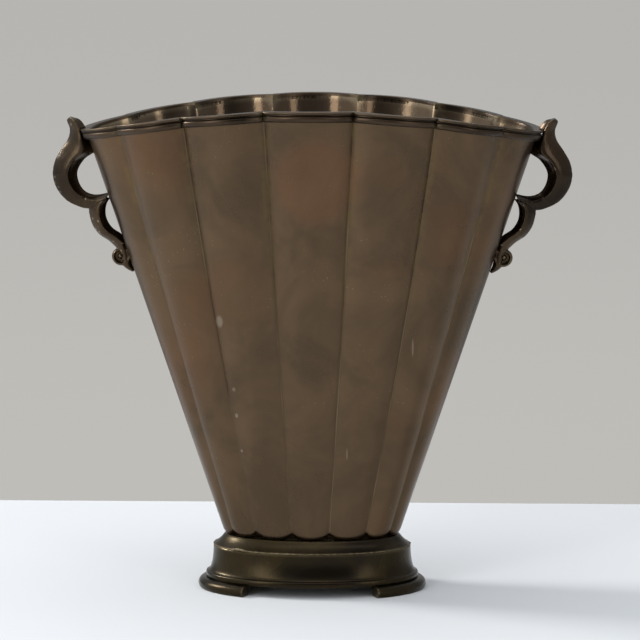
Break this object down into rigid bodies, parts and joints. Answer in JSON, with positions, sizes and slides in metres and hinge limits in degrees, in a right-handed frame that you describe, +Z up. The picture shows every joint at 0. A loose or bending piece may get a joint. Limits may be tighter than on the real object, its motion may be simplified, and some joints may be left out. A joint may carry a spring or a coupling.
{
  "type": "metal vase",
  "caption": "Fan-shaped cast metal vase with a lobed flaring body, arched moulded rim, stepped oval foot and scroll side handles.",
  "frame": {"origin": "on the ground, under the middle of the foot", "axes": "+X along the wide side towards the right handle, -Y to the front, +Z up"},
  "size_m": [0.2196, 0.1012, 0.208],
  "materials": {
    "body_brown": "dark brown patina, satin",
    "rim_brown": "dark brown patina, satin",
    "foot_brown": "olive-brown patina, rubbed glossier",
    "handle_brown": "dark brown patina, rubbed at the ridges"
  },
  "bodies": {
    "root": {"body_shell": "body_brown", "body_floor": "body_brown", "rim_moulding": "rim_brown", "foot_collar": "foot_brown", "foot_plinth": "foot_brown", "right_end_foot": "foot_brown", "left_end_foot": "foot_brown", "handle_right": "handle_brown", "handle_left": "handle_brown"}
  },
  "joints": []
}
